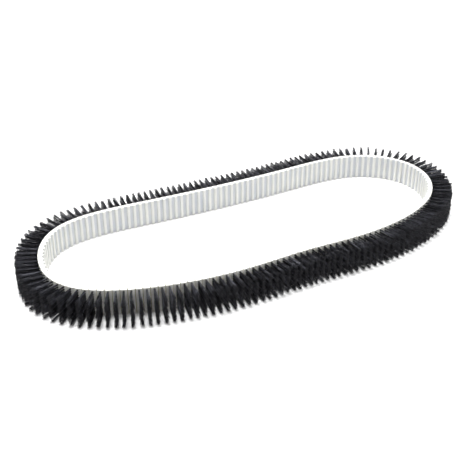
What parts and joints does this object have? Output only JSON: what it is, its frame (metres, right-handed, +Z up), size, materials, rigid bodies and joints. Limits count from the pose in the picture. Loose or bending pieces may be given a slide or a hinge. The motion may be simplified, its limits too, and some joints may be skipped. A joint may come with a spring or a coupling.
{
  "type": "endless brush belt",
  "caption": "Endless toothed drive belt with a slit backing and rows of brush tufts on its outside, lying on its edge in a loose loop.",
  "frame": {"origin": "on the floor under the middle of the belt as it lies on its edge", "axes": "+X along the loop's long axis, +Z up, across the belt's width"},
  "size_m": [0.7312, 0.3202, 0.0412],
  "materials": {
    "belt": "smooth white cast polyurethane, satin",
    "cords": "bright stranded steel cord",
    "backing": "white polyurethane, matt where it is cut",
    "bristles": "black nylon filaments with a soft sheen along them"
  },
  "bodies": {
    "section_01": {"toothed_belt_01": "belt", "cord_ply_01": "cords", "slit_backing_01": "backing", "bristle_rows_01": "bristles"},
    "section_02": {"toothed_belt_02": "belt", "cord_ply_02": "cords", "slit_backing_02": "backing", "bristle_rows_02": "bristles"},
    "section_03": {"toothed_belt_03": "belt", "cord_ply_03": "cords", "slit_backing_03": "backing", "bristle_rows_03": "bristles"},
    "section_04": {"toothed_belt_04": "belt", "cord_ply_04": "cords", "slit_backing_04": "backing", "bristle_rows_04": "bristles"},
    "section_05": {"toothed_belt_05": "belt", "cord_ply_05": "cords", "slit_backing_05": "backing", "bristle_rows_05": "bristles"},
    "section_06": {"toothed_belt_06": "belt", "cord_ply_06": "cords", "slit_backing_06": "backing", "bristle_rows_06": "bristles"},
    "section_07": {"toothed_belt_07": "belt", "cord_ply_07": "cords", "slit_backing_07": "backing", "bristle_rows_07": "bristles"},
    "section_08": {"toothed_belt_08": "belt", "cord_ply_08": "cords", "slit_backing_08": "backing", "bristle_rows_08": "bristles"},
    "section_09": {"toothed_belt_09": "belt", "cord_ply_09": "cords", "slit_backing_09": "backing", "bristle_rows_09": "bristles"},
    "section_10": {"toothed_belt_10": "belt", "cord_ply_10": "cords", "slit_backing_10": "backing", "bristle_rows_10": "bristles"},
    "section_11": {"toothed_belt_11": "belt", "cord_ply_11": "cords", "slit_backing_11": "backing", "bristle_rows_11": "bristles"},
    "section_12": {"toothed_belt_12": "belt", "cord_ply_12": "cords", "slit_backing_12": "backing", "bristle_rows_12": "bristles"}
  },
  "joints": [
    {"name": "bend_06_07", "type": "hinge", "parent": "section_07", "child": "section_06", "pos_m": [-0.30708, 0.073, 0.02], "axis": [0, 0, 1], "range_deg": [-4, 4], "stiffness_Nm_per_rad": 0.3},
    {"name": "bend_05_06", "type": "hinge", "parent": "section_06", "child": "section_05", "pos_m": [-0.19354, 0.12254, 0.02], "axis": [0, 0, 1], "range_deg": [-4, 4], "stiffness_Nm_per_rad": 0.3},
    {"name": "bend_04_05", "type": "hinge", "parent": "section_05", "child": "section_04", "pos_m": [-0.06371, 0.11625, 0.02], "axis": [0, 0, 1], "range_deg": [-4.27, 4.27], "stiffness_Nm_per_rad": 0.3},
    {"name": "bend_03_04", "type": "hinge", "parent": "section_04", "child": "section_03", "pos_m": [0.06625, 0.11353, 0.02], "axis": [0, 0, 1], "range_deg": [-4.61, 4.61], "stiffness_Nm_per_rad": 0.3},
    {"name": "bend_02_03", "type": "hinge", "parent": "section_03", "child": "section_02", "pos_m": [0.19618, 0.11711, 0.02], "axis": [0, 0, 1], "range_deg": [-4.04, 4.04], "stiffness_Nm_per_rad": 0.3},
    {"name": "bend_01_02", "type": "hinge", "parent": "section_02", "child": "section_01", "pos_m": [0.31167, 0.06956, 0.02], "axis": [0, 0, 1], "range_deg": [-3.81, 3.81], "stiffness_Nm_per_rad": 0.3},
    {"name": "bend_07_08", "type": "hinge", "parent": "section_07", "child": "section_08", "pos_m": [-0.31178, -0.04947, 0.02], "axis": [0, 0, 1], "range_deg": [-4, 4], "stiffness_Nm_per_rad": 0.3},
    {"name": "bend_08_09", "type": "hinge", "parent": "section_08", "child": "section_09", "pos_m": [-0.19864, -0.10862, 0.02], "axis": [0, 0, 1], "range_deg": [-4.02, 4.02], "stiffness_Nm_per_rad": 0.3},
    {"name": "bend_09_10", "type": "hinge", "parent": "section_09", "child": "section_10", "pos_m": [-0.06975, -0.12246, 0.02], "axis": [0, 0, 1], "range_deg": [-3.64, 3.64], "stiffness_Nm_per_rad": 0.3},
    {"name": "bend_10_11", "type": "hinge", "parent": "section_10", "child": "section_11", "pos_m": [0.06018, -0.12133, 0.02], "axis": [0, 0, 1], "range_deg": [-3.54, 3.54], "stiffness_Nm_per_rad": 0.3},
    {"name": "bend_11_12", "type": "hinge", "parent": "section_11", "child": "section_12", "pos_m": [0.18936, -0.11206, 0.02], "axis": [0, 0, 1], "range_deg": [-4.05, 4.05], "stiffness_Nm_per_rad": 0.3}
  ],
  "couplings": [
    {"joint": "bend_03_04", "follows": "bend_06_07", "ratio": -1.1518},
    {"joint": "bend_09_10", "follows": "bend_06_07", "ratio": 0.9099},
    {"joint": "bend_01_02", "follows": "bend_07_08", "ratio": -0.95287},
    {"joint": "bend_04_05", "follows": "bend_07_08", "ratio": 1.068},
    {"joint": "bend_10_11", "follows": "bend_07_08", "ratio": -0.88483},
    {"joint": "bend_02_03", "follows": "bend_05_06", "ratio": -1.0086},
    {"joint": "bend_08_09", "follows": "bend_05_06", "ratio": 1.0046},
    {"joint": "bend_11_12", "follows": "bend_05_06", "ratio": -1.0132}
  ]
}
